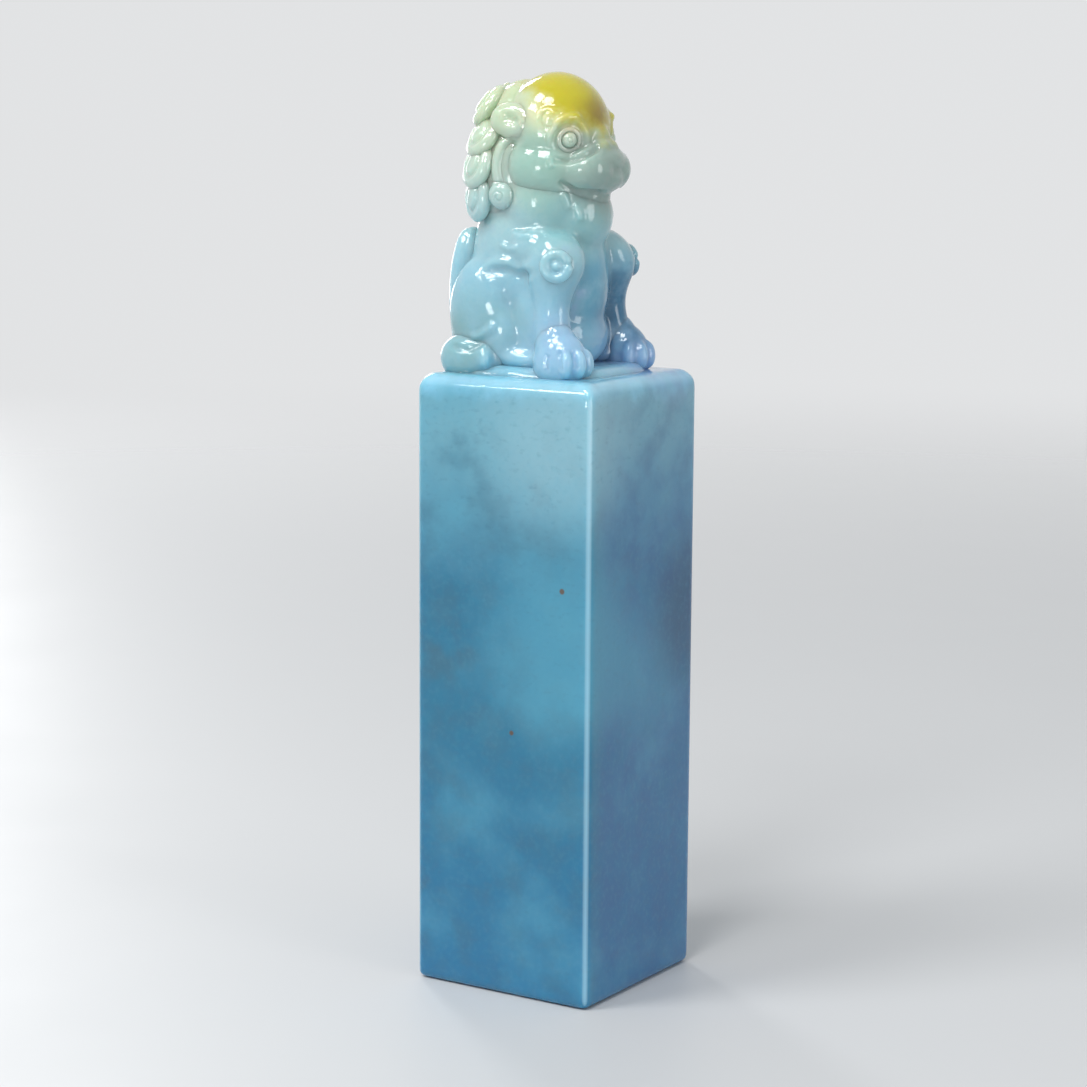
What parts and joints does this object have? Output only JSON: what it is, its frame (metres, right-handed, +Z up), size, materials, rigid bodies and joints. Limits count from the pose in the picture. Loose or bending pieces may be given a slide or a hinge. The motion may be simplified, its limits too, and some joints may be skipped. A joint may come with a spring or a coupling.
{
  "type": "seal stamp",
  "caption": "Tall square stone seal stamp with a seated guardian lion carved as its handle and a flat, uncut printing face.",
  "frame": {"origin": "middle of the flat printing face, which is also the bottom centre of the bounding box", "axes": "+Z up through the block and the lion's head; +X the way the lion looks; +Y to the lion's left"},
  "size_m": [0.014, 0.014, 0.0627],
  "materials": {
    "blue_jade": "polished translucent jadeite, pale blue with soft grey and lavender clouds",
    "pale_jade": "polished translucent jadeite, pale green-white",
    "yellow_skin": "polished jadeite with a natural yellow skin"
  },
  "bodies": {
    "root": {"seal_block": "blue_jade", "ground_mound": "blue_jade", "torso": "blue_jade", "chest": "blue_jade", "mane": "pale_jade", "skull": "yellow_skin", "jowls": "pale_jade", "muzzle": "pale_jade", "beard": "pale_jade", "nose": "pale_jade", "eyes": "pale_jade", "eyelids": "pale_jade", "brows": "yellow_skin", "ears": "pale_jade", "whiskers": "pale_jade", "cheek_curls": "pale_jade", "crown_locks": "pale_jade", "upper_locks": "pale_jade", "middle_locks": "pale_jade", "lower_locks": "pale_jade", "right_haunch": "blue_jade", "left_haunch": "blue_jade", "right_foreleg": "blue_jade", "left_foreleg": "blue_jade", "right_forepaw": "blue_jade", "left_forepaw": "blue_jade", "right_hind_foot": "blue_jade", "left_hind_foot": "blue_jade", "forepaw_toes": "blue_jade", "hind_toes": "blue_jade", "shoulder_curls": "blue_jade", "tail": "blue_jade", "tail_tongues": "blue_jade"}
  },
  "joints": []
}
